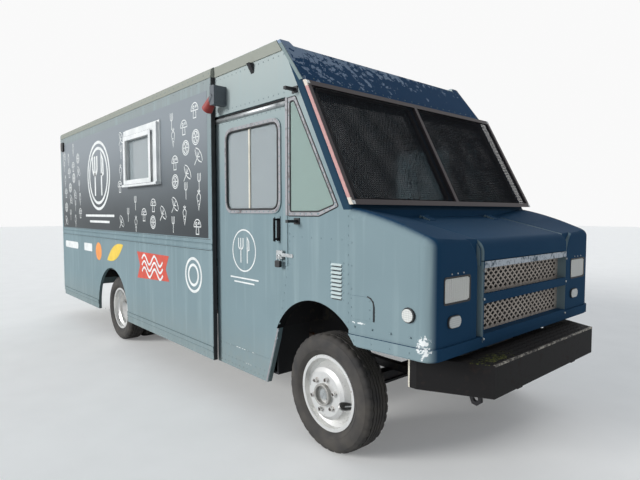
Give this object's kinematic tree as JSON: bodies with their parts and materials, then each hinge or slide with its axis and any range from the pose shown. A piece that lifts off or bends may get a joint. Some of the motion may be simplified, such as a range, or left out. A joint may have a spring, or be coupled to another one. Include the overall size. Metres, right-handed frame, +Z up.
{
  "type": "food truck",
  "caption": "Walk-in step van turned food truck: tall square body, short sloping nose, sliding cab doors, serving window on one side, steered front axle, twin rear wheels.",
  "frame": {"origin": "on the floor, under the middle of the overall box", "axes": "+X points forward, +Y to the driver's left, +Z up"},
  "size_m": [7.48, 2.491, 2.891],
  "materials": {
    "body_paint": "matte, weathered",
    "white_paint": "satin",
    "guard_paint": "satin, worn",
    "frame_black": "matte, dusty",
    "rim_steel": "satin silver paint",
    "engine_iron": "rough",
    "bare_aluminium": "brushed, dull",
    "floor_aluminium": "dull",
    "dark_plastic": "matte",
    "red_plastic": "satin",
    "lamp_lens": "clear",
    "amber_lens": "clear over reflector",
    "window_glass": "lightly tinted",
    "seat_cloth": "woven",
    "tyre_rubber": "matte"
  },
  "bodies": {
    "body": {"chassis_frame": "frame_black", "engine": "engine_iron", "front_axle": "frame_black", "rear_axle": "frame_black", "leaf_springs": "frame_black", "drive_shaft": "frame_black", "fuel_tank": "frame_black", "floor": "floor_aluminium", "engine_cover": "dark_plastic", "side_wall_right": "body_paint", "side_wall_left": "body_paint", "roof": "body_paint", "front_cap": "body_paint", "rear_frame": "body_paint", "cab_front": "body_paint", "cab_side_right": "body_paint", "cab_side_left": "body_paint", "door_tracks": "bare_aluminium", "cab_glass": "window_glass", "nose": "body_paint", "grille": "dark_plastic", "windshield_guard": "guard_paint", "front_bumper": "frame_black", "tow_hooks": "frame_black", "rear_bumper": "bare_aluminium", "headlamps": "lamp_lens", "serving_window_frame": "white_paint", "serving_window_pane": "window_glass", "power_inlet": "red_plastic", "mirror_stubs": "frame_black", "driver_seat": "seat_cloth", "dash": "dark_plastic", "radiator": "bare_aluminium", "exhaust": "engine_iron", "wheel_boxes": "floor_aluminium", "step_wells": "floor_aluminium", "marker_lamps": "amber_lens", "guard_mesh": "frame_black"},
    "steering_right": {"knuckle_right": "frame_black"},
    "steering_left": {"knuckle_left": "frame_black"},
    "front_wheel_right": {"front_rim_right": "rim_steel", "front_tyre_right": "tyre_rubber"},
    "front_wheel_left": {"front_rim_left": "rim_steel", "front_tyre_left": "tyre_rubber"},
    "rear_wheels_right": {"rear_rims_right": "rim_steel", "rear_tyres_right": "tyre_rubber"},
    "rear_wheels_left": {"rear_rims_left": "rim_steel", "rear_tyres_left": "tyre_rubber"},
    "sliding_door_right": {"door_right": "body_paint", "door_glass_right": "window_glass"},
    "sliding_door_left": {"door_left": "body_paint", "door_glass_left": "window_glass"},
    "back_door_right": {"rear_door_right": "body_paint"},
    "back_door_left": {"rear_door_left": "body_paint"},
    "hood": {"hood_lid": "body_paint"}
  },
  "joints": [
    {"name": "steer_right", "type": "hinge", "parent": "body", "child": "steering_right", "pos_m": [2.7, -0.86, 0.405], "axis": [0, 0, 1], "range_deg": [-35, 35]},
    {"name": "steer_left", "type": "hinge", "parent": "body", "child": "steering_left", "pos_m": [2.7, 0.86, 0.405], "axis": [0, 0, 1], "range_deg": [-35, 35]},
    {"name": "front_spin_right", "type": "hinge", "parent": "steering_right", "child": "front_wheel_right", "pos_m": [2.7, -0.985, 0.405], "axis": [0, 1, 0], "continuous": true},
    {"name": "front_spin_left", "type": "hinge", "parent": "steering_left", "child": "front_wheel_left", "pos_m": [2.7, 0.985, 0.405], "axis": [0, 1, 0], "continuous": true},
    {"name": "rear_spin_right", "type": "hinge", "parent": "body", "child": "rear_wheels_right", "pos_m": [-1.288, -0.848, 0.405], "axis": [0, 1, 0], "continuous": true},
    {"name": "rear_spin_left", "type": "hinge", "parent": "body", "child": "rear_wheels_left", "pos_m": [-1.288, 0.848, 0.405], "axis": [0, 1, 0], "continuous": true},
    {"name": "slide_right", "type": "slide", "parent": "body", "child": "sliding_door_right", "axis": [-1, 0, 0], "range_m": [0, 0.8]},
    {"name": "slide_left", "type": "slide", "parent": "body", "child": "sliding_door_left", "axis": [-1, 0, 0], "range_m": [0, 0.8]},
    {"name": "back_door_right_hinge", "type": "hinge", "parent": "body", "child": "back_door_right", "pos_m": [-3.595, -0.806, 1.7], "axis": [0, 0, 1], "range_deg": [0, 180]},
    {"name": "back_door_left_hinge", "type": "hinge", "parent": "body", "child": "back_door_left", "pos_m": [-3.595, 0.806, 1.7], "axis": [0, 0, -1], "range_deg": [0, 180]},
    {"name": "hood_hinge", "type": "hinge", "parent": "body", "child": "hood", "pos_m": [3.021, 0, 1.61424], "axis": [0, -1, 0], "range_deg": [0, 60]}
  ],
  "couplings": [
    {"joint": "steer_left", "follows": "steer_right", "ratio": 1}
  ]
}
